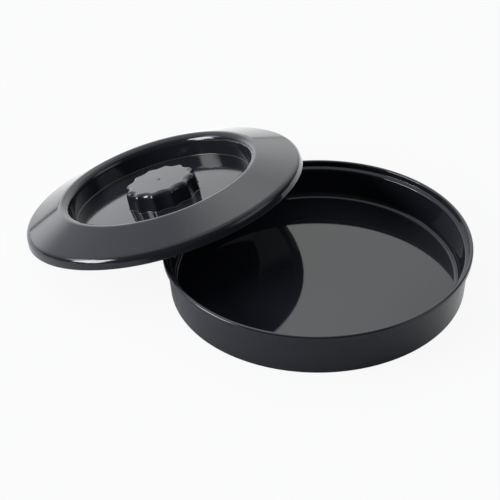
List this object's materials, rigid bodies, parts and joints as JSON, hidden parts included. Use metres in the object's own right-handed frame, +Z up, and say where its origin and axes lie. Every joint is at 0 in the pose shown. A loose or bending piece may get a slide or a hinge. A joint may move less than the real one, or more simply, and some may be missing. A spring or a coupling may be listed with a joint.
{
  "type": "tortilla warmer",
  "caption": "Shallow round keeper for warm tortillas: a tray with a rolled rim, and a loose lid with a recessed fluted knob that leans on the rim, taken off.",
  "frame": {"origin": "centre of the base's foot ring, on the surface it stands on", "axes": "+Z up; the lid, taken off, leans on the rim towards -X, so the row is longest along X and mirror-symmetric in Y but for the knob's flutes"},
  "size_m": [0.3002, 0.19, 0.058],
  "materials": {
    "base_plastic": "polished inside, satin outside, black",
    "lid_plastic": "polished recess and edge, fine satin brim, black"
  },
  "bodies": {
    "base": {"base": "base_plastic"},
    "lid": {"lid": "lid_plastic"}
  },
  "joints": [
    {"name": "lid_lift", "type": "slide", "parent": "base", "child": "lid", "axis": [0, 0, 1], "range_m": [0, 0.06]}
  ]
}
